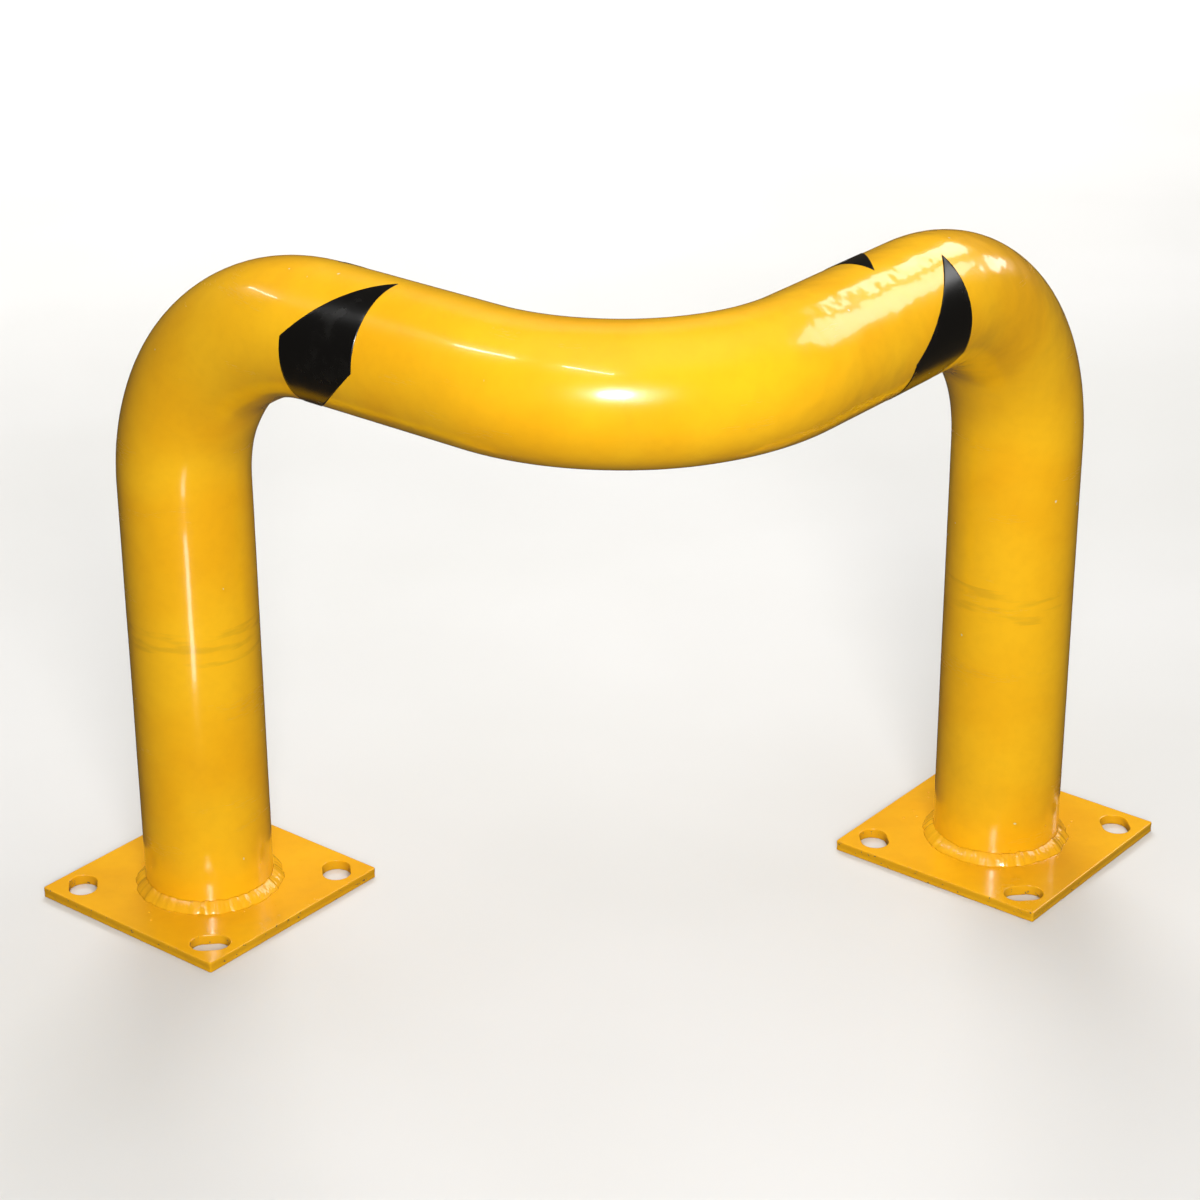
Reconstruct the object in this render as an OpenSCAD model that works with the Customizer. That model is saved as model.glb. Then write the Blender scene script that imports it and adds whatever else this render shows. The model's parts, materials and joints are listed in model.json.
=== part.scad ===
// Floor-mounted guard for a square corner: one bent steel pipe with two legs and an L-shaped top rail,
// welded to two slotted base plates, with black hazard stripes stuck round the rail.
// Millimetres, +Z up. The floor is z = 0, the corner of the rail points to -Y, and the legs stand towards
// -X and +X. The origin is on the floor, at the middle of the outline in plan.

/* [Overall] */
// From the point where the centre lines of the two rails would cross to the axis of each leg
leg_reach = 508; // [420:1:900]
// Height of the rail's centre line above the top of the base plates
rail_height = 559; // [380:1:1100]

/* [Pipe] */
// Outside diameter of the pipe
pipe_od = 114.3; // [80:0.1:140]
// Wall thickness of the pipe
pipe_wall = 4.8; // [2.5:0.1:10]
// Centre-line radius of the bend at the top of each leg
leg_bend_r = 171.5; // [145:0.5:210]
// Centre-line radius of the bend at the corner of the rail
corner_bend_r = 171.5; // [145:0.5:210]

/* [Base plates] */
// Side of each square plate
plate_side = 210; // [180:1:300]
// Thickness of each plate
plate_t = 9.5; // [6:0.5:20]
// Radius of the four corners of a plate
plate_corner_r = 2; // [1:0.5:10]

/* [Anchor slots] */
// Distance between neighbouring slot centres, along the sides of a plate
slot_pitch = 160; // [156:1:170]
// Width of a slot
slot_w = 25; // [14:0.5:26]
// Length of a slot from end to end, square to the plate's diagonal
slot_len = 35; // [28:0.5:38]

/* [Welds] */
// Leg of the fillet weld round the foot of each leg
weld_leg = 9; // [4:0.5:12]
// How far the face of the weld bulges past a flat fillet
weld_crown = 1.2; // [0.5:0.1:2]

/* [Hazard stripes] */
// Width of the stripe material, measured along the rail
stripe_w = 76; // [40:1:90]
// Thickness of the vinyl
stripe_t = 0.3; // [0.2:0.05:1]
// Share of the way round the pipe that each stripe covers
stripe_share = 0.25; // [0.15:0.01:0.35]
// Slant of the stripes against the rail, in degrees
stripe_slant = 45; // [35:1:60]
// Gap from the start of the leg bend to the stripes
stripe_gap = 5; // [1:0.5:12]
// Angle round the left rail, from its top towards the outside, to the middle of the outer stripe
stripe_turn_left = 83; // [0:1:180]
// The same angle on the right rail
stripe_turn_right = 110; // [0:1:180]

/* [Hidden] */

$fn = 96;
LEFT = -1;
RIGHT = 1;
// Extra length on cutters, so that no cut ends on a face
over = 1;

pipe_r = pipe_od / 2;
bore_r = pipe_r - pipe_wall;
axis_z = plate_t + rail_height;
// Where the straight rail ends and the leg bend starts, from the crossing of the centre lines
rail_end = leg_reach - leg_bend_r;
leg_straight = rail_height - leg_bend_r;

// Depth of the outline in plan, from the same crossing: the face of the corner bend and the far plate corners
outline_front = corner_bend_r * (sqrt(2) - 1) - pipe_r;
plate_half_diagonal = plate_side / sqrt(2) - plate_corner_r * (sqrt(2) - 1);
outline_back = leg_reach / sqrt(2) + plate_half_diagonal;
origin_y = (outline_front + outline_back) / 2;

// Colours, as painted
SAFETY_YELLOW = "#F5BE19";
STRIPE_BLACK = "#121212";

// Places a drawing whose origin is the crossing of the centre lines, with the right rail along its +X
// and the left rail along its +Y. The drawing is turned once, as a whole, so that bends meet rails exactly.
module at_corner() {
    translate([0, -origin_y, 0]) rotate([0, 0, 45]) children();
}

// In that drawing, puts a piece drawn on the right rail onto either side. Its +Y is the inner side.
module on_side(side) {
    if (side == RIGHT) children();
    if (side == LEFT) rotate([0, 0, 90]) mirror([0, 1, 0]) children();
}

// One side's leg, leg bend and straight rail as a bar of the given radius, lengthened below its foot
module side_bar(r, below) {
    translate([leg_reach, 0, plate_t - below]) cylinder(h = leg_straight + below, r = r);
    translate([rail_end, 0, plate_t + leg_straight])
        rotate([90, 0, 0]) rotate_extrude(angle = 90) translate([leg_bend_r, 0]) circle(r);
    translate([corner_bend_r, 0, axis_z])
        rotate([0, 90, 0]) cylinder(h = rail_end - corner_bend_r, r = r);
}

// The whole run of the pipe as a bar of the given radius
module pipe_run(r, below = 0) {
    for (side = [LEFT, RIGHT]) on_side(side) side_bar(r, below);
    translate([corner_bend_r, corner_bend_r, axis_z])
        rotate([0, 0, 180]) rotate_extrude(angle = 90) translate([corner_bend_r, 0]) circle(r);
}

module bent_pipe() {
    color(SAFETY_YELLOW) at_corner() difference() {
        pipe_run(pipe_r);
        pipe_run(bore_r, over);
    }
}

// A slot's outline, centred, with its length along X
module slot_outline() {
    straight = slot_len - slot_w;
    for (end = [-1, 1]) translate([end * straight / 2, 0]) circle(slot_w / 2);
    square([straight, slot_w], center = true);
}

// A square with round corners, centred
module plate_outline() {
    inner = plate_side - 2 * plate_corner_r;
    square([plate_side, inner], center = true);
    square([inner, plate_side], center = true);
    for (x = [-1, 1], y = [-1, 1]) translate([x, y] * inner / 2) circle(plate_corner_r);
}

module base_plate(side) {
    color(SAFETY_YELLOW) at_corner() on_side(side) translate([leg_reach, 0, 0])
        difference() {
            linear_extrude(plate_t) plate_outline();
            for (turn = [45 : 90 : 315])
                rotate([0, 0, turn]) translate([slot_pitch / sqrt(2), 0, -over])
                    linear_extrude(plate_t + 2 * over) rotate(90) slot_outline();
        }
}

// A fillet with a slightly round face: the corner of the weld cut out by a circle through its two toes
module weld_bead(side) {
    // From the middle of the line between the toes to the circle's centre
    to_centre = (pow(weld_leg, 2) - 2 * pow(weld_crown, 2)) / (4 * weld_crown);
    // The centre lies this far behind the weld's root, along both legs
    setback = to_centre / sqrt(2) - weld_leg / 2;
    face_r = to_centre + weld_crown;
    color(SAFETY_YELLOW) at_corner() on_side(side) translate([leg_reach, 0, plate_t])
        rotate_extrude()
            intersection() {
                translate([pipe_r, 0]) square(weld_leg);
                translate([pipe_r - setback, -setback]) circle(face_r);
            }
}

// A block that keeps one side of a slanted plane through the pipe's axis: the larger angles if keep is 1,
// the smaller if it is -1. The plane's edge on the pipe runs at stripe_slant to the rail where it passes
// the angle given as turn, and lean is 1 where that angle grows away from the corner.
module beyond_edge(turn, lean, keep) {
    block = 4 * pipe_od;
    // A plane cuts a pipe along a sine, so its slope is set to meet both ends of the slanted line
    half_turn = stripe_w / 2 / tan(stripe_slant) / pipe_r * 180 / PI;
    slope = atan(stripe_w / 2 / (pipe_r * sin(half_turn)));
    rotate([turn, 0, 0]) rotate([0, 0, -lean * (90 - slope)])
        translate([-block / 2, keep > 0 ? -block : 0, -block / 2]) cube(block);
}

// A parallelogram of vinyl wrapped round the rail. turn is the angle from the top of the rail towards
// its outer side, and lean is 1 if the stripe turns outwards as it runs away from the corner, or -1.
module stripe(side, turn, lean) {
    half_share = 180 * stripe_share;
    color(STRIPE_BLACK) at_corner() on_side(side)
        translate([rail_end - stripe_gap - stripe_w / 2, 0, axis_z])
            intersection() {
                rotate([0, 90, 0]) difference() {
                    cylinder(h = stripe_w, r = pipe_r + stripe_t, center = true);
                    cylinder(h = stripe_w + 2 * over, r = pipe_r, center = true);
                }
                beyond_edge(turn - half_share, lean, 1);
                beyond_edge(turn + half_share, lean, -1);
            }
}

bent_pipe();
base_plate(LEFT);  // base_plate_left
base_plate(RIGHT);  // base_plate_right
weld_bead(LEFT);  // weld_bead_left
weld_bead(RIGHT);  // weld_bead_right
stripe(LEFT, stripe_turn_left, 1);  // stripe_left_outer
stripe(LEFT, stripe_turn_left + 180, 1);  // stripe_left_inner
stripe(RIGHT, stripe_turn_right, -1);  // stripe_right_outer
stripe(RIGHT, stripe_turn_right + 180, -1);  // stripe_right_inner
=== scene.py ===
# %% [markdown]
# # A corner guard rail in safety yellow
# This guard is bolted to a shop floor, where it keeps trucks off the corner of a machine or a rack. It is
# one steel pipe with three bends, welded to two plates and powder coated, with black vinyl stripes stuck on.
# The CAD model already holds every size and place. Here each piece gets the surface that the real one has:
# the weld's ripples, the sheared edges of the plates, the soft orange peel of the coat and its small scars.
# The first cell loads the CAD model as a fixed frame, and every new piece is measured from it.

# %% Load the frame
import json
import math
import random

import bmesh
import bpy
from mathutils import Matrix, Vector, noise


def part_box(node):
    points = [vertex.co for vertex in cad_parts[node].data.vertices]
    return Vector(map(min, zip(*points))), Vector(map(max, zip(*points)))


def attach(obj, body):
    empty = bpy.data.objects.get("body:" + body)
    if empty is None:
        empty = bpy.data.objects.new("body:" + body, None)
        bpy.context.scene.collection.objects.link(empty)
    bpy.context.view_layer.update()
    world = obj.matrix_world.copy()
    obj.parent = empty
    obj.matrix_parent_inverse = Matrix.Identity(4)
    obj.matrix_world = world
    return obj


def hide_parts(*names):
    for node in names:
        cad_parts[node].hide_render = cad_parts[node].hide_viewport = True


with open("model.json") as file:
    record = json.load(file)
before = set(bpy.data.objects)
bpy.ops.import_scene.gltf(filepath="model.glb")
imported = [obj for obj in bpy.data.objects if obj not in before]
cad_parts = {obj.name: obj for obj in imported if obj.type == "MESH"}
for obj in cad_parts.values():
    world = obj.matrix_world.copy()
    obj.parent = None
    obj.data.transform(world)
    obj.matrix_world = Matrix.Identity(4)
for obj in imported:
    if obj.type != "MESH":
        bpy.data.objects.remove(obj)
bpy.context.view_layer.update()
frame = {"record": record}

MM = 0.001
LEFT = -1
RIGHT = 1
SIDE_NAMES = {LEFT: "left", RIGHT: "right"}
UP = Vector((0, 0, 1))

# %% [markdown]
# ## Read the sizes
# A good habit in Blender is to ask the model for its sizes instead of typing them twice. The boxes of the
# plates give the two legs, and the pipe's highest point gives the rail. Only what a box can't tell is named
# here: the pipe's own section and the radius of its bends, which is one and a half times its diameter.

# %% Sizes of the pipe and places of the legs
PIPE_R = 57.15 * MM
PIPE_WALL = 4.8 * MM
BEND_R = 171.5 * MM

plate_low, plate_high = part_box("base_plate_right")
_, pipe_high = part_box("bent_pipe")
LEG_X = (plate_low.x + plate_high.x) / 2
LEG_Y = (plate_low.y + plate_high.y) / 2
PLATE_TOP = plate_high.z
RAIL_Z = pipe_high.z - PIPE_R
LEG_STRAIGHT = RAIL_Z - BEND_R - PLATE_TOP

# The two rails run at right angles, so the point where their centre lines cross lies as far in front of
# the legs as the legs stand to its side.
CROSSING = Vector((0, LEG_Y - LEG_X, RAIL_Z))
LEG_REACH = LEG_X * math.sqrt(2)
RAIL_STRAIGHT = LEG_REACH - 2 * BEND_R


def leg_axis(side, z=0.0):
    """The point at height z on the axis of one leg."""
    return Vector((side * LEG_X, LEG_Y, z))


def outward(side):
    """The direction of a rail, from the corner to its leg."""
    return Vector((side, 1, 0)).normalized()


print("leg reach", round(LEG_REACH / MM, 1), "mm, rail height", round((RAIL_Z - PLATE_TOP) / MM, 1), "mm")

# %% [markdown]
# ## The camera
# A long lens from standing height flattens the guard a little, as in a catalogue picture. The camera is
# placed by its angle and distance from a point inside the guard, which is easier to adjust than a position.

# %% Place the camera
CAMERA_AIM = Vector((0.4, 155.8, 238.0)) * MM
CAMERA_AZIMUTH = math.radians(-6.27)
CAMERA_ELEVATION = math.radians(24.99)
CAMERA_DISTANCE = 2814.75 * MM
CAMERA_ROLL = math.radians(-0.25)
SENSOR_MM = 36
LENS_MM = 94.31


def from_angles(azimuth, elevation):
    """A unit vector: azimuth 0 points to the front, and positive turns to the right."""
    level = math.cos(elevation)
    return Vector((math.sin(azimuth) * level, -math.cos(azimuth) * level, math.sin(elevation)))


camera_data = bpy.data.cameras.new("camera")
camera_data.sensor_width = SENSOR_MM
camera_data.lens = LENS_MM
camera = bpy.data.objects.new("camera", camera_data)
bpy.context.scene.collection.objects.link(camera)
toward_camera = from_angles(CAMERA_AZIMUTH, CAMERA_ELEVATION)
camera_turn = toward_camera.to_track_quat("Z", "Y").to_matrix().to_4x4()
camera.matrix_world = (
    Matrix.Translation(CAMERA_AIM + toward_camera * CAMERA_DISTANCE)
    @ camera_turn
    @ Matrix.Rotation(CAMERA_ROLL, 4, "Z")
)
bpy.context.scene.camera = camera

# %% [markdown]
# ## Two small helpers for meshes
# Every new piece starts as a bmesh, which is Blender's editable mesh in memory, and is shaped by operators.
# The first helper turns a finished bmesh into an object at the origin. The second carries a ring of edges
# along: with an angle it turns the ring round an axis, and with a move it goes straight on, one step at a
# time. The spin operator does both, so one call makes a bend or a straight run of pipe.

# %% Helpers: finish a mesh, sweep a ring
def finish_piece(shape, name):
    """Makes a smooth-shaded object of a bmesh and lets it ride on the guard."""
    mesh = bpy.data.meshes.new(name)
    shape.to_mesh(mesh)
    shape.free()
    mesh.shade_smooth()
    piece = bpy.data.objects.new(name, mesh)
    bpy.context.scene.collection.objects.link(piece)
    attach(piece, "root")
    print(name, len(mesh.vertices), "vertices,", len(mesh.polygons), "faces")
    return piece


def sweep(shape, ring, steps, angle=0.0, centre=(0, 0, 0), axis=(0, 0, 1), move=(0, 0, 0)):
    """Carries edges round an axis or straight on, leaving faces behind, and returns the last edges."""
    swept = bmesh.ops.spin(
        shape, geom=ring, cent=centre, axis=axis, dvec=move, angle=angle, steps=steps, use_duplicate=False
    )
    return swept["geom_last"]


# %% [markdown]
# ## The bent pipe
# The real pipe is bent cold round a die. Here a ring starts at the left foot, climbs the leg, turns through
# the three bends and comes down the right leg, as one skin with no joints in it. The rings lie closer
# together in the bends, where there is more shape to hold.

# %% Sweep the skin of the pipe
AROUND = 96
LEG_RINGS = 44
BEND_RINGS = 80
RAIL_RINGS = 24
SKIN_MERGE = 0.01 * MM


def pipe_skin():
    """The outside of the pipe from the left foot to the right foot."""
    shape = bmesh.new()
    bmesh.ops.create_circle(
        shape, segments=AROUND, radius=PIPE_R, matrix=Matrix.Translation(leg_axis(LEFT, PLATE_TOP))
    )
    ring = list(shape.verts) + list(shape.edges)
    rise = UP * LEG_STRAIGHT / LEG_RINGS
    quarter = math.pi / 2
    ring = sweep(shape, ring, LEG_RINGS, move=rise)
    ring = sweep(shape, ring, BEND_RINGS, quarter, bend_centre(LEFT), -UP.cross(outward(LEFT)))
    ring = sweep(shape, ring, RAIL_RINGS, move=-outward(LEFT) * RAIL_STRAIGHT / RAIL_RINGS)
    ring = sweep(shape, ring, BEND_RINGS, quarter, CORNER_CENTRE, UP)
    ring = sweep(shape, ring, RAIL_RINGS, move=outward(RIGHT) * RAIL_STRAIGHT / RAIL_RINGS)
    ring = sweep(shape, ring, BEND_RINGS, quarter, bend_centre(RIGHT), UP.cross(outward(RIGHT)))
    sweep(shape, ring, LEG_RINGS, move=-rise)
    return shape


def bend_centre(side):
    """The centre of the bend at the top of a leg."""
    return leg_axis(side, RAIL_Z - BEND_R) - outward(side) * BEND_R


CORNER_CENTRE = CROSSING + Vector((0, BEND_R * math.sqrt(2), 0))

skin = pipe_skin()
bmesh.ops.remove_doubles(skin, verts=skin.verts, dist=SKIN_MERGE)
bmesh.ops.recalc_face_normals(skin, faces=skin.faces)
print("pipe skin:", len(skin.faces), "faces")

# %% [markdown]
# ## What bending does to a pipe
# Steel is squeezed on the inside of a bend, and it answers with a few shallow wrinkles. A pipe is also
# never optically straight, and a glossy coat shows every tenth of a millimetre. So each point moves inwards
# a little: by a wave that only lives on the inside of the leg bends, and by a soft noise everywhere. Nothing
# moves outwards, so the pipe never grows past its outside diameter.

# %% Wrinkle the bends
WRINKLE_DEPTH = 1.1 * MM
WRINKLES = 3
WAVINESS = 0.35 * MM
WAVE_LENGTH = 70 * MM
# The higher the power, the closer the wrinkles keep to the innermost line of the bend
WRINKLE_POWER = 4


def soft_noise(place):
    """Smooth noise at a point, from 0 to 1."""
    return 0.5 + 0.5 * noise.noise(place)


def wrinkle(place, centre, level, rise):
    """How deep the bend's wrinkles are at a point. level and rise span the plane of the bend."""
    from_centre = place - centre
    flat = from_centre.dot(level)
    high = from_centre.dot(rise)
    bend_angle = math.atan2(high, flat)
    if not 0 < bend_angle < math.pi / 2:
        return 0.0
    inner = (BEND_R - math.hypot(flat, high)) / PIPE_R
    if inner <= 0:
        return 0.0
    wave = math.sin(bend_angle * 2 * WRINKLES) ** 2
    fade = math.sin(2 * bend_angle)
    return WRINKLE_DEPTH * inner**WRINKLE_POWER * wave * fade


def squeeze(shape):
    """Moves each point of the pipe a little towards its centre line."""
    shape.normal_update()
    for vert in shape.verts:
        depth = WAVINESS * soft_noise(vert.co / WAVE_LENGTH)
        for side in (LEFT, RIGHT):
            depth += wrinkle(vert.co, bend_centre(side), outward(side), UP)
        vert.co -= vert.normal * depth


squeeze(skin)
bmesh.ops.solidify(skin, geom=skin.faces, thickness=PIPE_WALL)
bent_pipe = finish_piece(skin, "coated_pipe")
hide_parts("bent_pipe")

# %% [markdown]
# ## The base plates
# Each plate is sheared from sheet, so its sides aren't machined: the blade leaves a smooth band along the
# top and a torn, slightly hollow band below it. The slots are for anchor bolts, and they lie square to the
# diagonals, so that the whole guard can be turned a few degrees on its bolts. The outline is drawn with
# circles: four segments make the square, and a circle pulled apart makes a slot.

# %% Draw the outline of a plate
PLATE_CORNER_R = 2 * MM
pattern = next(m for m in frame["record"]["mounts"] if m["name"] == "anchor_slots_front_and_back")
SLOT_R = pattern["dims"]["hole_r_mm"] * MM
SLOT_STRAIGHT = pattern["dims"]["slot_length_mm"] * MM - 2 * SLOT_R
SLOT_FROM_LEG = pattern["dims"]["spacing_y_mm"] * MM / 2
HALF_DIAGONAL = (plate_high.x - plate_low.x) / 2 + PLATE_CORNER_R * (math.sqrt(2) - 1)
SIDE_CUTS = 69
SLOT_SEGMENTS = 48


def slot_outline(shape, turn):
    """A slot on the plate's diagonal, at the given turn round the leg."""
    half_step = math.pi / SLOT_SEGMENTS
    drawn = bmesh.ops.create_circle(
        shape, segments=SLOT_SEGMENTS, radius=SLOT_R, matrix=Matrix.Rotation(half_step, 4, "Z")
    )
    for vert in drawn["verts"]:
        vert.co.x += math.copysign(SLOT_STRAIGHT / 2, vert.co.x)
    place = Matrix.Rotation(turn, 4, "Z") @ Matrix.Translation((0, SLOT_FROM_LEG, 0))
    bmesh.ops.transform(shape, matrix=place, verts=drawn["verts"])


def plate_outline(shape):
    """The square with its corners on the axes and rounded, its sides divided, and the four slots."""
    drawn = bmesh.ops.create_circle(shape, segments=4, radius=HALF_DIAGONAL)
    bmesh.ops.bevel(
        shape,
        geom=drawn["verts"],
        offset=PLATE_CORNER_R,
        offset_type="OFFSET",
        affect="VERTICES",
        segments=4,
        profile=0.5,
        material=-1,
    )
    longer_than_corner = PLATE_CORNER_R * 4
    sides = [e for e in shape.edges if e.calc_length() > longer_than_corner]
    bmesh.ops.subdivide_edges(shape, edges=sides, cuts=SIDE_CUTS)
    for quarter in range(4):
        slot_outline(shape, quarter * math.pi / 2)


# %% [markdown]
# ## From outline to plate
# A fill turns the loops into a flat face with holes. An inset first lays a narrow band along every edge, so
# that the bevel that follows has clean faces to work in and the big flat face stays flat in the light. A
# number stored on each vertex says how near the rim it is. The paint reads it later, to chip only there.

# %% Build the two plates
RIM_BAND = 1.4 * MM
RIM_ROUND = 0.8 * MM
TORN_DEPTH = 0.5 * MM
TORN_FROM = 0.62
TORN_GRAIN = 9 * MM
TORN_LEAST = 0.25
SMOOTH_DEPTH = 0.12 * MM
SHEAR_BANDS = 5
RIM_ANGLE = math.radians(60)


def tear_side(shape, thickness):
    """Cuts the outer side walls into bands and pushes the lower ones in, as a shear blade does."""
    walls = [
        e
        for e in shape.edges
        if abs(e.verts[0].co.z - e.verts[1].co.z) > thickness / 2
        and abs(e.verts[0].co.x) + abs(e.verts[0].co.y) > HALF_DIAGONAL - PLATE_CORNER_R
    ]
    cut = bmesh.ops.subdivide_edges(shape, edges=walls, cuts=SHEAR_BANDS, use_grid_fill=True)
    for vert in [g for g in cut["geom_inner"] if isinstance(g, bmesh.types.BMVert)]:
        height = vert.co.z / thickness
        coarse = soft_noise(vert.co / TORN_GRAIN)
        torn = height < TORN_FROM
        depth = TORN_DEPTH * (TORN_LEAST + coarse) if torn else SMOOTH_DEPTH * coarse
        inward = Vector((math.copysign(1, vert.co.x), math.copysign(1, vert.co.y), 0)).normalized()
        vert.co -= inward * depth


def base_plate(side):
    """One plate with its slots, rounded rims and sheared sides."""
    shape = bmesh.new()
    plate_outline(shape)
    bmesh.ops.triangle_fill(shape, use_beauty=True, edges=shape.edges, normal=UP)
    bmesh.ops.inset_region(
        shape, faces=shape.faces, use_boundary=True, use_even_offset=True, thickness=RIM_BAND
    )
    shape.normal_update()
    bmesh.ops.reverse_faces(shape, faces=[f for f in shape.faces if f.normal.z < 0])
    bmesh.ops.translate(shape, vec=UP * PLATE_TOP, verts=shape.verts)
    bmesh.ops.solidify(shape, geom=shape.faces, thickness=PLATE_TOP)
    near_rim = shape.verts.layers.float.new("rim_wear")
    rims = [e for e in shape.edges if e.is_manifold and e.calc_face_angle() > RIM_ANGLE]
    for edge in rims:
        for vert in edge.verts:
            vert[near_rim] = 1.0
    bmesh.ops.bevel(
        shape, geom=rims, offset=RIM_ROUND, affect="EDGES", segments=3, profile=0.5, material=-1
    )
    tear_side(shape, PLATE_TOP)
    bmesh.ops.recalc_face_normals(shape, faces=shape.faces)
    bmesh.ops.translate(shape, vec=leg_axis(side), verts=shape.verts)
    return finish_piece(shape, f"slotted_plate_{SIDE_NAMES[side]}")


plates = {side: base_plate(side) for side in (LEFT, RIGHT)}
for side, plate in plates.items():
    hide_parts(f"base_plate_{SIDE_NAMES[side]}")

# %% [markdown]
# ## The weld round each foot
# A hand-made fillet weld is a row of small frozen pools. Its face is an arc that a single point draws when
# it is spun from the plate to the pipe, and the closed section is then spun once round the leg. After that
# the arc's points are moved: scallops make the pools, a slow noise makes the bead fat and thin, and a few
# lumps mark where the welder stopped and struck the arc again.

# %% Spin the weld beads
WELD_LEG = 9 * MM
WELD_CROWN = 0.4 * MM
WELD_ROOT = 1 * MM
ARC_STEPS = 12
TURN_STEPS = 600
POOL_PITCH = 4.2 * MM
POOL_HEIGHT = 0.24 * MM
LUMPINESS = 0.2
RESTARTS = (0.35, 1.75, 3.05, 4.6)
RESTART_HEIGHT = 0.7 * MM
RESTART_WIDTH = 0.09
WELD_MERGE = 0.005 * MM
# How far the pools bow and wander, in pools, how fast they wander, and how sharp the valleys between them are
POOL_BOW = 1.6
POOL_WANDER = 0.8
WANDER_ROUND = 4
WANDER_UP = 2
POOL_POWER = 0.7
# The noise is read on a circle, so that it closes; a larger circle gives more lumps. Each side has its own.
LUMP_CIRCLE = 5
LUMP_SIDE = 5.0
POOL_SIDE = 9.0


def weld_section(shape):
    """The closed section of the bead in the XZ plane. Z is the leg's axis and starts at the plate's top."""
    to_centre = (WELD_LEG**2 - 2 * WELD_CROWN**2) / (4 * WELD_CROWN)
    setback = to_centre / math.sqrt(2) - WELD_LEG / 2
    centre = Vector((PIPE_R - setback, 0, -setback))
    toe = shape.verts.new((PIPE_R + WELD_LEG, 0, 0))
    start = math.atan2(setback, WELD_LEG + setback)
    bmesh.ops.spin(
        shape,
        geom=[toe],
        cent=centre,
        axis=(0, -1, 0),
        angle=math.pi / 2 - 2 * start,
        steps=ARC_STEPS,
        use_duplicate=False,
    )
    shape.verts.ensure_lookup_table()
    arc = sorted(shape.verts, key=lambda v: v.co.z)
    root = shape.verts.new((PIPE_R - WELD_ROOT, 0, -WELD_ROOT))
    shape.edges.new((root, arc[0]))
    shape.edges.new((arc[-1], root))


def pool_wave(angle, up_share, seed):
    """The height of the frozen pools at a turn round the leg and a share of the way up the face, 0 to 1."""
    bowed = POOL_BOW * (2 * up_share - 1) ** 2
    wander = POOL_WANDER * noise.noise(Vector((angle * WANDER_ROUND, up_share * WANDER_UP, seed)))
    phase = angle * PIPE_R / POOL_PITCH + bowed + wander
    return abs(math.sin(math.pi * phase)) ** POOL_POWER


def weld_bead(side):
    """The ring of weld round the foot of one leg, still as a bmesh."""
    shape = bmesh.new()
    weld_section(shape)
    section = list(shape.verts) + list(shape.edges)
    bmesh.ops.spin(
        shape,
        geom=section,
        cent=(0, 0, 0),
        axis=UP,
        angle=2 * math.pi,
        steps=TURN_STEPS,
        use_merge=True,
        use_duplicate=False,
    )
    bmesh.ops.remove_doubles(shape, verts=shape.verts, dist=WELD_MERGE)
    bmesh.ops.recalc_face_normals(shape, faces=shape.faces)
    shape.normal_update()
    for vert in shape.verts:
        if vert.co.z < 0:
            continue
        angle = math.atan2(vert.co.y, vert.co.x) % (2 * math.pi)
        spoke = Vector((math.cos(angle), math.sin(angle), 0))
        corner = spoke * PIPE_R
        up_share = math.atan2(vert.co.z, vert.co.dot(spoke) - PIPE_R) / (math.pi / 2)
        middle = math.sin(math.pi * min(max(up_share, 0), 1))
        ring = Vector((math.cos(angle) * LUMP_CIRCLE, math.sin(angle) * LUMP_CIRCLE, side * LUMP_SIDE))
        size = 1 + LUMPINESS * noise.fractal(ring, 1.0, 2.0, 3)
        lump = sum(math.exp(-(((angle - at) / RESTART_WIDTH) ** 2)) for at in RESTARTS)
        bulge = POOL_HEIGHT * pool_wave(angle, up_share, side * POOL_SIDE) + RESTART_HEIGHT * lump
        vert.co = corner + (vert.co - corner) * size + vert.normal * bulge * middle
    bmesh.ops.translate(shape, vec=leg_axis(side, PLATE_TOP), verts=shape.verts)
    return shape


# %% [markdown]
# ## Spatter
# Drops of steel fly off the arc, freeze on the plate and the pipe, and are painted over. Each is a small
# flattened ball, half sunk in the steel it landed on. The random numbers have a fixed seed, so that the
# drops fall in the same places each time the script runs.

# %% Scatter the spatter and make both welds
DROPS = 34
DROP_R = (0.45 * MM, 1.1 * MM)
DROP_SPREAD = 26 * MM
DROP_NEAREST = WELD_LEG * 1.25
ON_PLATE_SHARE = 0.6
DROP_HEIGHT = 0.7
random_drops = random.Random(7)


def spatter(shape, side):
    """Small frozen drops round a weld, on the plate and on the foot of the pipe."""
    for _ in range(DROPS):
        angle = random_drops.uniform(0, 2 * math.pi)
        radius = random_drops.uniform(*DROP_R)
        away = DROP_NEAREST + DROP_SPREAD * random_drops.random() ** 2
        spoke = Vector((math.cos(angle), math.sin(angle), 0))
        on_plate = random_drops.random() < ON_PLATE_SHARE
        place = leg_axis(side, PLATE_TOP) + spoke * PIPE_R
        place += spoke * away if on_plate else UP * away - spoke * WAVINESS / 2
        flatten = Matrix.Diagonal((1, 1, DROP_HEIGHT, 1))
        drop = bmesh.ops.create_icosphere(shape, subdivisions=2, radius=radius)
        bmesh.ops.transform(shape, matrix=Matrix.Translation(place) @ flatten, verts=drop["verts"])


def spattered_weld(side):
    """One weld with its spatter, finished."""
    shape = weld_bead(side)
    spatter(shape, side)
    return finish_piece(shape, f"fillet_weld_{SIDE_NAMES[side]}")


welds = {side: spattered_weld(side) for side in (LEFT, RIGHT)}
for side, weld in welds.items():
    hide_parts(f"weld_bead_{SIDE_NAMES[side]}")

# %% [markdown]
# ## The hazard stripes
# Each stripe is a slanted patch of black vinyl, cut with a knife and rubbed down onto the rail. A flat grid
# is the natural start: one of its directions runs along the rail, the other round it, and the slant comes
# from turning further as it goes along. Solidify then gives the vinyl its thickness.

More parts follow.
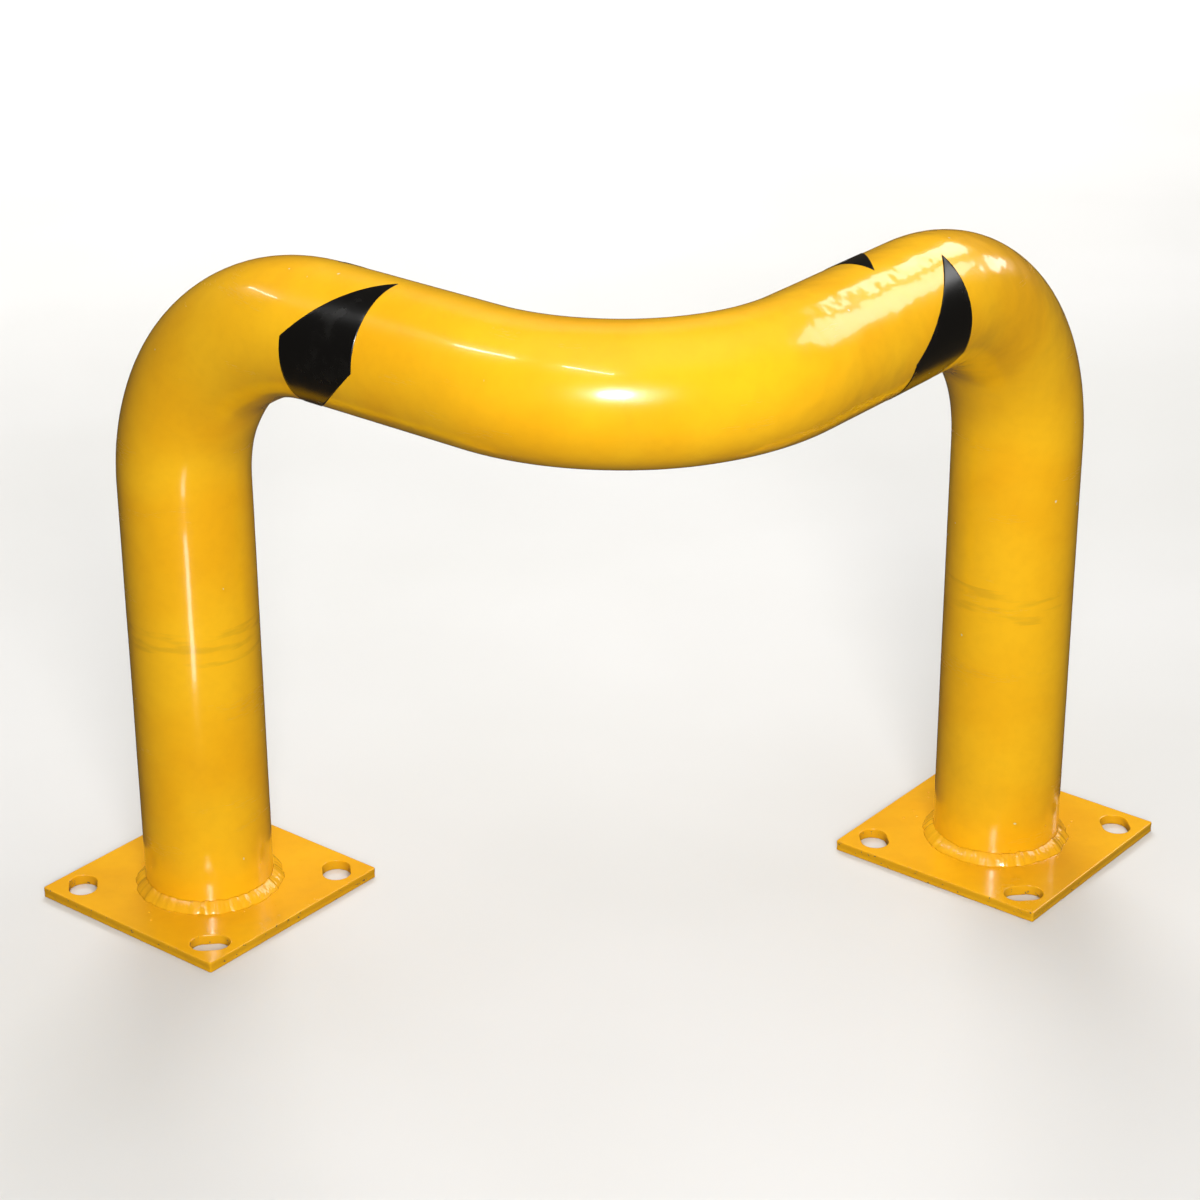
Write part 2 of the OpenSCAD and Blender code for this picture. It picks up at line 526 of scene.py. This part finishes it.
# %% Wrap the vinyl round the rail
STRIPE_W = 76 * MM
STRIPE_SHARE = 0.25
STRIPE_GAP = 5 * MM
STRIPE_TURN = {LEFT: math.radians(83), RIGHT: math.radians(110)}
STRIPE_LEAN = {LEFT: 1, RIGHT: -1}
VINYL = 0.16 * MM
STRIPE_GRID = (40, 48)
STRIPE_MIDDLE = LEG_REACH - BEND_R - STRIPE_GAP - STRIPE_W / 2


def rail_point(side, along, turn, radius):
    """A point at a distance from the crossing, turned from the rail's top towards its outer side."""
    outer = Vector((side, -1, 0)).normalized()
    return CROSSING + outward(side) * along + (outer * math.sin(turn) + UP * math.cos(turn)) * radius


def stripe(side, name, turn):
    """One parallelogram of vinyl, centred at the given turn round the rail."""
    shape = bmesh.new()
    bmesh.ops.create_grid(shape, x_segments=STRIPE_GRID[0], y_segments=STRIPE_GRID[1], size=0.5)
    for vert in shape.verts:
        along = vert.co.x * STRIPE_W
        slant = STRIPE_LEAN[side] * along / PIPE_R
        turned = turn + vert.co.y * 2 * math.pi * STRIPE_SHARE + slant
        vert.co = rail_point(side, STRIPE_MIDDLE + along, turned, PIPE_R + VINYL)
    bmesh.ops.recalc_face_normals(shape, faces=shape.faces)
    shape.normal_update()
    shape.faces.ensure_lookup_table()
    middle = shape.faces[0].calc_center_median()
    on_axis = CROSSING + outward(side) * (middle - CROSSING).dot(outward(side))
    if shape.faces[0].normal.dot(middle - on_axis) < 0:
        bmesh.ops.reverse_faces(shape, faces=shape.faces)
    bmesh.ops.solidify(shape, geom=shape.faces, thickness=VINYL + WAVINESS)
    return finish_piece(shape, f"vinyl_{name}")


stripes = {}
for side in (LEFT, RIGHT):
    for face, face_turn in (("outer", STRIPE_TURN[side]), ("inner", STRIPE_TURN[side] + math.pi)):
        stripe_name = f"stripe_{SIDE_NAMES[side]}_{face}"
        stripes[stripe_name] = stripe(side, stripe_name, face_turn)
        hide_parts(stripe_name)

# %% [markdown]
# ## Colours and nodes
# Colours are picked as sRGB, the numbers that a paint chart or a colour picker shows, but the shader works
# in linear light, so one function converts them. A second function adds a node: its settings are plain
# arguments, and each input is either a value or the output of another node, which is then linked.

# %% Helpers: colour and node
def linear(hex_text):
    """A linear RGBA colour from an sRGB hex value such as #F5B60F."""
    shares = [int(hex_text[i : i + 2], 16) / 255 for i in (1, 3, 5)]
    return tuple(c / 12.92 if c <= 0.04045 else ((c + 0.055) / 1.055) ** 2.4 for c in shares) + (1.0,)


def add_node(material, kind, inputs=None, **settings):
    """Adds a node, sets its options, and fills its inputs with values or with other nodes' outputs."""
    node = material.node_tree.nodes.new(kind)
    for option, value in settings.items():
        setattr(node, option, value)
    for socket, value in (inputs or {}).items():
        if isinstance(value, bpy.types.NodeSocket):
            material.node_tree.links.new(value, node.inputs[socket])
        else:
            node.inputs[socket].default_value = value
    return node


def new_material(name):
    """An empty node material with its output, and the Object coordinates that patterns are laid in."""
    material = bpy.data.materials.new(name)
    material.use_nodes = True
    material.node_tree.nodes.clear()
    place = add_node(material, "ShaderNodeTexCoord").outputs["Object"]
    return material, place


def grain(material, place, size, detail=2.0, rough=0.5, stretch=(1, 1, 1)):
    """Noise whose blobs are about size metres across, from 0 to 1. stretch lengthens them along an axis."""
    scaled = add_node(
        material, "ShaderNodeMapping", {"Vector": place, "Scale": [1 / (size * s) for s in stretch]}
    ).outputs["Vector"]
    return add_node(
        material, "ShaderNodeTexNoise", {"Vector": scaled, "Scale": 1.0, "Detail": detail, "Roughness": rough}
    ).outputs["Fac"]


def between(material, value, low, high, to_low=0.0, to_high=1.0):
    """Maps a stretch of a value onto another stretch, smoothly, and clamps it."""
    return add_node(
        material,
        "ShaderNodeMapRange",
        {"Value": value, "From Min": low, "From Max": high, "To Min": to_low, "To Max": to_high},
        interpolation_type="SMOOTHSTEP",
    ).outputs["Result"]


def times(material, first, second):
    """The product of two values."""
    return add_node(material, "ShaderNodeMath", {0: first, 1: second}, operation="MULTIPLY").outputs[0]


def blend(material, share, first, second):
    """Mixes two colours by a share from 0 to 1."""
    return add_node(
        material, "ShaderNodeMix", {"Factor": share, 6: first, 7: second}, data_type="RGBA"
    ).outputs[2]


# %% [markdown]
# ## Bump and shader
# Paint and plastic are made the same way here, so they share two helpers. The first bends the light for
# ripples that are too shallow to model. The second builds the shader itself, with two layers of gloss: real
# paint shows a sharp reflection with a haze round it, and one roughness can't give both.

# %% Helpers: bump and shader
def ripple(material, height, depth, under=None):
    """Bends the light as if the surface rose by depth metres where height is 1, on top of another ripple."""
    inputs = {"Height": height, "Distance": depth, "Strength": 1.0}
    if under is not None:
        inputs["Normal"] = under
    return add_node(material, "ShaderNodeBump", inputs).outputs["Normal"]


def insulator(material, colour, roughness, normal, gloss):
    """Paint or plastic: a hazy gloss set by its roughness, and a sharp one over it with the weight gloss."""
    shader = add_node(
        material,
        "ShaderNodeBsdfPrincipled",
        {
            "Base Color": colour,
            "Roughness": roughness,
            "Metallic": 0.0,
            "IOR": 1.5,
            "Normal": normal,
            "Coat Weight": gloss,
            "Coat Roughness": 0.05,
            "Coat IOR": 1.5,
            "Coat Normal": normal,
        },
    )
    add_node(material, "ShaderNodeOutputMaterial", {"Surface": shader.outputs["BSDF"]})
    return material


# %% [markdown]
# ## Powder coat
# Powder coat is dry paint that is sprayed on charged steel and baked until it flows. It ends as one thick
# glossy film, an insulator with an IOR near 1.5. The resin gives a sharp mirror image, and the pigment just
# under it a haze round every bright spot, so the shader has both. The film doesn't level out fully: that
# leaves orange peel, a ripple a few millimetres wide over a longer one. Where it is thin the colour is a
# little deeper, and handling adds dull rubs. Pipe, plates and welds share this recipe with small changes.

# %% Safety-yellow powder coat
PEEL_SIZE = 3.5 * MM
SWELL_SIZE = 16 * MM
FILM_PATCH = 90 * MM
MOTTLE_SIZE = 9 * MM
COAT_GLOSS = 0.6
COAT_ROUGH = (0.24, 0.45)
RUB_SIZE = 45 * MM
SCRATCH_SIZE = 2.2 * MM
DUST_SIZE = 130 * MM
MOTTLE_YELLOW = "#D99A14"
RUBBED_OCHRE = "#A87612"
DUST_BROWN = "#8A6A2A"


def powder_coat(name, full, thin, peel, swell, grime):
    """Baked powder coat. peel and swell are the depths of its two ripples, and grime the share of dust."""
    material, place = new_material(name)
    film = between(material, grain(material, place, FILM_PATCH), 0.3, 0.7)
    colour = blend(material, film, linear(thin), linear(full))
    mottle = between(material, grain(material, place, MOTTLE_SIZE, 3.0), 0.35, 0.75, 0.0, 0.12)
    colour = blend(material, mottle, colour, linear(MOTTLE_YELLOW))
    rub = times(
        material,
        between(material, grain(material, place, RUB_SIZE, 3.0, stretch=(2.5, 2.5, 0.5)), 0.60, 0.72),
        between(material, grain(material, place, SCRATCH_SIZE, 4.0, 0.7, stretch=(5, 5, 0.35)), 0.45, 0.7),
    )
    colour = blend(material, times(material, rub, 0.25), colour, linear(RUBBED_OCHRE))
    dust = between(material, grain(material, place, DUST_SIZE, 5.0, 0.6), 0.52, 0.8, 0.0, grime)
    colour = blend(material, dust, colour, linear(DUST_BROWN))
    roughness = between(material, rub, 0.0, 1.0, *COAT_ROUGH)
    normal = ripple(material, grain(material, place, SWELL_SIZE, 1.0), swell)
    normal = ripple(material, grain(material, place, PEEL_SIZE, 1.5), peel, under=normal)
    return material, place, colour, roughness, normal


# %% [markdown]
# ## The pipe's coat
# On the right rail the film went on too thick and pulled into heavy orange peel, which breaks the window's
# reflection into ragged patches. The legs carry a faint scuff where guards lay against each other in a
# stack. Both are places on the guard, so they are picked out by Object coordinates, which are metres here.
# A few nicks show the pale primer: they are the rare peaks of a noise, so there are only some on each rail.

# %% Material: powder coat on the pipe
THICK_FROM_X = (40 * MM, 130 * MM)
THICK_FROM_Z = (430 * MM, 500 * MM)
THICK_SIZE = 21 * MM
THICK_DEPTH = 0.95 * MM
SCUFF_HEIGHT = 262 * MM
SCUFF_HALF = 16 * MM
SCUFF_SHARE = 0.2
SMEAR_SIZE = 24 * MM
NICK_SIZE = 9 * MM
SCUFF_BROWN = "#8E6A20"
PRIMER_CREAM = "#E6DAB4"


def pipe_coat():
    """The coat of the pipe, with heavy peel on the right rail and a scuff round each leg."""
    material, place, colour, roughness, normal = powder_coat(
        "powder_coat_on_pipe", "#F7BB18", "#F0AE10", 0.012 * MM, 0.11 * MM, 0.10
    )
    axes = add_node(material, "ShaderNodeSeparateXYZ", {"Vector": place}).outputs
    to_the_right = between(material, axes["X"], *THICK_FROM_X)
    high_up = between(material, axes["Z"], *THICK_FROM_Z)
    thick = times(material, to_the_right, high_up)
    heavy_peel = times(material, grain(material, place, THICK_SIZE, 1.5, 0.4), thick)
    normal = ripple(material, heavy_peel, THICK_DEPTH, under=normal)
    from_scuff = add_node(
        material, "ShaderNodeMath", {0: axes["Z"], 1: SCUFF_HEIGHT, 2: SCUFF_HALF}, operation="COMPARE"
    )
    streaks = grain(material, place, SMEAR_SIZE, 3.0, 0.5, stretch=(1.6, 1.6, 0.3))
    smear = between(material, streaks, 0.48, 0.7)
    scuff = times(material, from_scuff.outputs[0], smear)
    colour = blend(material, times(material, scuff, SCUFF_SHARE), colour, linear(SCUFF_BROWN))
    nick = between(material, grain(material, place, NICK_SIZE, 1.0), 0.80, 0.82)
    colour = blend(material, nick, colour, linear(PRIMER_CREAM))
    return insulator(material, colour, roughness, normal, COAT_GLOSS)


# %% [markdown]
# ## The coat on the plates and welds
# The plates lie on the floor and are kicked, dragged and stacked, so their rims are chipped to the steel.
# Their coat is a slightly deeper yellow than the pipe's, which is painted shade for their flat tops.
# The chips are noise, cut off hard, and multiplied by the number that was stored on the rim's vertices. On
# the rough weld the film is uneven, so its ripple is deeper.

# %% Materials: powder coat on plates and welds
CHIP_SIZE = 5 * MM
CHIP_FROM = (0.635, 0.665)
CHIP_ROUGHER = 0.35
CHIP_BROWN = "#5F4C34"


def plate_coat():
    """The coat of the plates, a deeper yellow as painted shade, with chipped rims."""
    # Both yellows are a little deeper than the pipe's: painted shade for the plates' dimly lit flat tops
    material, place, colour, roughness, normal = powder_coat(
        "powder_coat_on_plate", "#F2B216", "#E9A612", 0.012 * MM, 0.12 * MM, 0.2
    )
    rim = add_node(material, "ShaderNodeAttribute", attribute_name="rim_wear").outputs["Fac"]
    flake = between(material, grain(material, place, CHIP_SIZE, 4.0, 0.65), *CHIP_FROM)
    chip = times(material, flake, between(material, rim, 0.55, 0.95))
    colour = blend(material, chip, colour, linear(CHIP_BROWN))
    roughness = add_node(
        material, "ShaderNodeMath", {0: roughness, 1: times(material, chip, CHIP_ROUGHER)}, operation="ADD"
    ).outputs[0]
    return insulator(material, colour, roughness, normal, COAT_GLOSS)


def weld_coat():
    """The coat of the weld beads."""
    material, place, colour, roughness, normal = powder_coat(
        "powder_coat_on_weld", "#F4B616", "#ECA912", 0.03 * MM, 0.12 * MM, 0.15
    )
    return insulator(material, colour, roughness, normal, COAT_GLOSS)


# %% [markdown]
# ## Vinyl
# The stripe material is soft PVC film, black all through, with a softer gloss than the paint: it has the hazy
# layer only. Shallow bubbles under it and patches of fine wear keep the black from looking flat.

# %% Material: black vinyl
WEAR_SIZE = 25 * MM
BUBBLE_SIZE = 11 * MM
BUBBLE_DEPTH = 0.08 * MM
VINYL_ROUGH = (0.24, 0.38)


def vinyl():
    """Black self-adhesive film."""
    material, place = new_material("black_vinyl_film")
    worn = between(material, grain(material, place, WEAR_SIZE, 5.0, 0.6), 0.5, 0.8)
    colour = blend(material, times(material, worn, 0.5), linear("#0B0B0B"), linear("#1C1B19"))
    roughness = between(material, worn, 0.0, 1.0, *VINYL_ROUGH)
    bubbles = ripple(material, grain(material, place, BUBBLE_SIZE, 2.0), BUBBLE_DEPTH)
    return insulator(material, colour, roughness, bubbles, 0.0)


def dress(pieces, material):
    """Gives each piece one material."""
    for piece in pieces:
        piece.data.materials.clear()
        piece.data.materials.append(material)


dress([bent_pipe], pipe_coat())
dress(plates.values(), plate_coat())
dress(welds.values(), weld_coat())
dress(stripes.values(), vinyl())

# %% [markdown]
# ## The floor
# A matt white floor keeps the eye on the guard. It only shows itself and the shadows: it is hidden from
# mirror-like reflections, because a glossy pipe that mirrors a white floor loses its dark outline, and from
# bounced light, which would wash out the dark undersides.

# %% Floor
FLOOR_HALF = 8.0
FLOOR_PATCH = 0.7
FLOOR_ROUGH = 0.8


def floor_finish():
    """A matt white floor with faint cloudy patches, so that it doesn't look like paper."""
    material, place = new_material("white_matt_floor")
    patch = between(material, grain(material, place, FLOOR_PATCH, 3.0), 0.3, 0.7)
    colour = blend(material, patch, linear("#D3D2CF"), linear("#D9D8D6"))
    shader = add_node(material, "ShaderNodeBsdfPrincipled", {"Base Color": colour, "Roughness": FLOOR_ROUGH})
    add_node(material, "ShaderNodeOutputMaterial", {"Surface": shader.outputs["BSDF"]})
    return material


floor_shape = bmesh.new()
bmesh.ops.create_grid(floor_shape, x_segments=1, y_segments=1, size=FLOOR_HALF)
floor_mesh = bpy.data.meshes.new("floor")
floor_shape.to_mesh(floor_mesh)
floor_shape.free()
floor = bpy.data.objects.new("floor", floor_mesh)
bpy.context.scene.collection.objects.link(floor)
dress([floor], floor_finish())
floor.visible_glossy = False
floor.visible_diffuse = False

# %% [markdown]
# ## Lamps
# A glossy curved surface is shown by what it mirrors, so there are two kinds of lamp. The soft ones light the
# paint and are hidden from reflections: one in front, one behind, one above, and one that only evens out the
# floor at the back. The others give no light to the paint and are seen only as reflections: a flash by the
# camera, a window in three parts behind the right rail, three tubes under the ceiling, and a small glint low
# in front of the left foot. Every lamp is placed by where it hangs and what it faces, and its power is given
# as brightness times area, so it can be made larger without losing its sparkle.

# %% Lights
def area_light(name, place, target, size, brightness, along=UP, spread=180, mirrored=True, lights=True):
    """A lamp of size (width, length) metres, its length near the direction along, unseen by the camera.

    spread is the angle of its beam in degrees. mirrored lets it show in reflections, and lights lets it
    light matt surfaces.
    """
    data = bpy.data.lights.new(name, "AREA")
    data.shape = "RECTANGLE"
    data.size, data.size_y = size
    data.energy = brightness * math.pi * size[0] * size[1]
    data.spread = math.radians(spread)
    lamp = bpy.data.objects.new(name, data)
    bpy.context.scene.collection.objects.link(lamp)
    back = (Vector(place) - Vector(target)).normalized()
    across = Vector(along).cross(back).normalized()
    length = back.cross(across)
    facing = Matrix((across, length, back)).transposed().to_4x4()
    lamp.matrix_world = Matrix.Translation(Vector(place)) @ facing
    lamp.visible_camera = False
    lamp.visible_glossy = mirrored
    lamp.visible_diffuse = lights


def from_guard(azimuth, elevation, distance):
    """A point seen from the middle of the guard, with its angles in degrees."""
    return LIGHT_AIM + from_angles(math.radians(azimuth), math.radians(elevation)) * distance


LIGHT_AIM = Vector((0, 0, 0.45))
CEILING = 3.0
AWAY = (0, 1, 0)
TUBES_RUN = (2.0, -2.47, 0)
SIDE_TUBE_RUN = from_guard(-128, 31, 3.2) - from_guard(-100, 37, 3.2)

area_light("front_soft", from_guard(-1, 20, 3.0), LIGHT_AIM, (0.9, 0.9), 11.4, spread=100, mirrored=False)
area_light("rear_soft", from_guard(178, 44, 3.2), LIGHT_AIM, (1.2, 1.2), 3.0, spread=100, mirrored=False)
area_light("top_soft", (0.2, -0.2, CEILING), LIGHT_AIM, (2.6, 2.6), 1.9, AWAY, mirrored=False)
area_light("back_soft", (0, 3.8, CEILING), (0, 3.8, 0), (5.0, 3.0), 2.8, AWAY, 120, mirrored=False)
area_light("flash", from_guard(-9, 22, 2.6), LIGHT_AIM, (0.14, 0.10), 1400, lights=False)
area_light("window_near", from_guard(103, 36, 3.2), LIGHT_AIM, (1.5, 1.2), 4, lights=False)
area_light("window_far", from_guard(136, 34, 3.2), LIGHT_AIM, (0.9, 0.7), 4.5, lights=False)
area_light("window_low", from_guard(121, 16, 3.2), LIGHT_AIM, (0.8, 0.4), 5, lights=False)
area_light("tube_far", (-1.95, -0.2, CEILING), LIGHT_AIM, (0.04, 1.2), 60, TUBES_RUN, lights=False)
area_light("tube_near", (-0.75, -1.68, CEILING), LIGHT_AIM, (0.04, 1.0), 60, TUBES_RUN, lights=False)
area_light("tube_side", from_guard(-114, 34.5, 3.1), LIGHT_AIM, (0.03, 0.9), 30, SIDE_TUBE_RUN, lights=False)
area_light("glint", (-0.385, -0.37, 0.11), (-0.36, 0.04, 0.30), (0.05, 0.145), 0.4, spread=40, lights=False)

# %% [markdown]
# ## The room
# The world lights the paint evenly from all around, but a mirrored ray finds it dark and warm, like the far
# end of a shop. This is what gives the pipe its ochre outline.

# %% World
ROOM_BRIGHTNESS = 0.42
world = bpy.data.worlds.new("room")
world.use_nodes = True
world.node_tree.nodes.clear()
is_mirrored = add_node(world, "ShaderNodeLightPath").outputs["Is Glossy Ray"]
room = blend(world, is_mirrored, linear("#B4B2AE"), linear("#6A6052"))
light = add_node(world, "ShaderNodeBackground", {"Color": room, "Strength": ROOM_BRIGHTNESS})
add_node(world, "ShaderNodeOutputWorld", {"Surface": light.outputs["Background"]})
bpy.context.scene.world = world
bpy.context.scene.view_settings.view_transform = "Standard"
